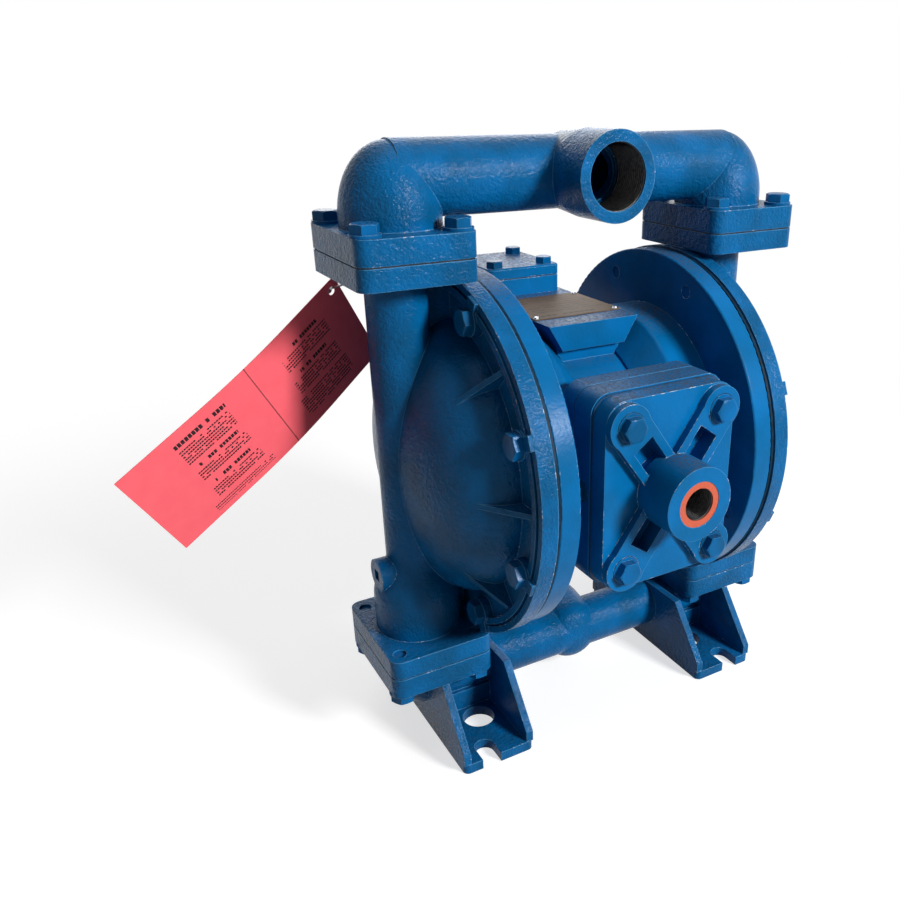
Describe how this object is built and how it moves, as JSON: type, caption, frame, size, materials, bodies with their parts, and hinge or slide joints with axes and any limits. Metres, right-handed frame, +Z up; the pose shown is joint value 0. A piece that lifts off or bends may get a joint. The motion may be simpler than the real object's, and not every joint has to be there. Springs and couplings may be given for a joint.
{
  "type": "air operated diaphragm pump",
  "caption": "Air operated diaphragm pump in blue cast iron, with a front air valve, a top discharge manifold and a footed suction manifold.",
  "frame": {"origin": "on the floor, midway between the four mounting slots of the feet", "axes": "+X along the diaphragm rod, -Y towards the air inlet and the discharge port, +Z up"},
  "size_m": [0.5231, 0.317, 0.4671],
  "materials": {
    "actuator_plunger_left": "ground or drawn",
    "actuator_plunger_right": "ground or drawn",
    "air_inlet_cap": "gloss enamel over rough casting",
    "block_bolts": "enamel over plated steel",
    "cap_bolts": "enamel over plated steel",
    "center_body": "gloss enamel over rough casting",
    "clamp_bolts_left": "enamel over plated steel",
    "clamp_bolts_right": "enamel over plated steel",
    "diaphragm_left": "black moulded rubber",
    "diaphragm_right": "black moulded rubber",
    "diaphragm_rod": "ground or drawn",
    "discharge_ball_left": "black moulded rubber",
    "discharge_ball_right": "black moulded rubber",
    "discharge_bolts": "enamel over plated steel",
    "discharge_gaskets": "black compressed fibre and rubber",
    "discharge_manifold": "gloss enamel over rough casting",
    "discharge_seats": "machined",
    "hang_tag": "coated red card",
    "inlet_thread_ring": "orange thread protector",
    "inner_chamber_left": "gloss enamel over rough casting",
    "inner_chamber_right": "gloss enamel over rough casting",
    "inner_plate_left": "cast",
    "inner_plate_right": "cast",
    "main_spool": "ground or drawn",
    "main_valve_body": "gloss enamel over rough casting",
    "nameplate": "bronze anodised",
    "nameplate_pins": "ground or drawn",
    "outer_chamber_left": "gloss enamel over rough casting",
    "outer_chamber_right": "gloss enamel over rough casting",
    "outer_plate_left": "cast",
    "outer_plate_right": "cast",
    "pilot_block": "gloss enamel over rough casting",
    "pilot_block_cover": "gloss enamel over rough casting",
    "pilot_block_gasket": "black compressed fibre and rubber",
    "pilot_sleeve": "ground or drawn",
    "pilot_spool": "ground or drawn",
    "priming_plugs": "enamel over plated steel",
    "rod_bushings": "turned bronze",
    "suction_ball_left": "black moulded rubber",
    "suction_ball_right": "black moulded rubber",
    "suction_bolts": "enamel over plated steel",
    "suction_gaskets": "black compressed fibre and rubber",
    "suction_manifold": "gloss enamel over rough casting",
    "suction_seats": "machined",
    "tag_tie": "ground or drawn",
    "valve_end_plugs": "ground or drawn",
    "valve_gasket_front": "black compressed fibre and rubber",
    "valve_gasket_rear": "black compressed fibre and rubber",
    "valve_sleeve": "ground or drawn"
  },
  "bodies": {
    "pump_body": {"air_inlet_cap": "air_inlet_cap", "block_bolts": "block_bolts", "cap_bolts": "cap_bolts", "center_body": "center_body", "clamp_bolts_left": "clamp_bolts_left", "clamp_bolts_right": "clamp_bolts_right", "diaphragm_left": "diaphragm_left", "diaphragm_right": "diaphragm_right", "discharge_bolts": "discharge_bolts", "discharge_gaskets": "discharge_gaskets", "discharge_manifold": "discharge_manifold", "discharge_seats": "discharge_seats", "inlet_thread_ring": "inlet_thread_ring", "inner_chamber_left": "inner_chamber_left", "inner_chamber_right": "inner_chamber_right", "main_valve_body": "main_valve_body", "nameplate": "nameplate", "nameplate_pins": "nameplate_pins", "outer_chamber_left": "outer_chamber_left", "outer_chamber_right": "outer_chamber_right", "pilot_block": "pilot_block", "pilot_block_cover": "pilot_block_cover", "pilot_block_gasket": "pilot_block_gasket", "pilot_sleeve": "pilot_sleeve", "priming_plugs": "priming_plugs", "rod_bushings": "rod_bushings", "suction_bolts": "suction_bolts", "suction_gaskets": "suction_gaskets", "suction_manifold": "suction_manifold", "suction_seats": "suction_seats", "tag_tie": "tag_tie", "valve_end_plugs": "valve_end_plugs", "valve_gasket_front": "valve_gasket_front", "valve_gasket_rear": "valve_gasket_rear", "valve_sleeve": "valve_sleeve"},
    "diaphragm_assembly": {"diaphragm_rod": "diaphragm_rod", "inner_plate_left": "inner_plate_left", "inner_plate_right": "inner_plate_right", "outer_plate_left": "outer_plate_left", "outer_plate_right": "outer_plate_right"},
    "suction_check_left": {"suction_ball_left": "suction_ball_left"},
    "suction_check_right": {"suction_ball_right": "suction_ball_right"},
    "discharge_check_left": {"discharge_ball_left": "discharge_ball_left"},
    "discharge_check_right": {"discharge_ball_right": "discharge_ball_right"},
    "air_spool": {"main_spool": "main_spool"},
    "signal_spool": {"pilot_spool": "pilot_spool"},
    "plunger_left": {"actuator_plunger_left": "actuator_plunger_left"},
    "plunger_right": {"actuator_plunger_right": "actuator_plunger_right"},
    "tag": {"hang_tag": "hang_tag"}
  },
  "joints": [
    {"name": "rod_stroke", "type": "slide", "parent": "pump_body", "child": "diaphragm_assembly", "axis": [1, 0, 0], "range_m": [-0.011, 0.011], "deforming": ["diaphragm_left", "diaphragm_right"]},
    {"name": "suction_ball_left_lift", "type": "slide", "parent": "pump_body", "child": "suction_check_left", "axis": [0, 0, 1], "range_m": [0, 0.009]},
    {"name": "suction_ball_right_lift", "type": "slide", "parent": "pump_body", "child": "suction_check_right", "axis": [0, 0, 1], "range_m": [0, 0.009]},
    {"name": "discharge_ball_left_lift", "type": "slide", "parent": "pump_body", "child": "discharge_check_left", "axis": [0, 0, 1], "range_m": [0, 0.009]},
    {"name": "discharge_ball_right_lift", "type": "slide", "parent": "pump_body", "child": "discharge_check_right", "axis": [0, 0, 1], "range_m": [0, 0.009]},
    {"name": "main_spool_shift", "type": "slide", "parent": "pump_body", "child": "air_spool", "axis": [1, 0, 0], "range_m": [-0.005, 0.005]},
    {"name": "pilot_spool_shift", "type": "slide", "parent": "pump_body", "child": "signal_spool", "axis": [1, 0, 0], "range_m": [-0.004, 0.004]},
    {"name": "plunger_left_push", "type": "slide", "parent": "pump_body", "child": "plunger_left", "axis": [1, 0, 0], "range_m": [-0.004, 0.004]},
    {"name": "plunger_right_push", "type": "slide", "parent": "pump_body", "child": "plunger_right", "axis": [1, 0, 0], "range_m": [-0.004, 0.004]},
    {"name": "tag_swing", "type": "hinge", "parent": "pump_body", "child": "tag", "pos_m": [-0.1645, 0.0765, 0.3506], "axis": [0, 0, 1], "range_deg": [-10, 25]}
  ],
  "couplings": [
    {"joint": "plunger_left_push", "follows": "pilot_spool_shift", "ratio": 1},
    {"joint": "plunger_right_push", "follows": "pilot_spool_shift", "ratio": 1}
  ]
}
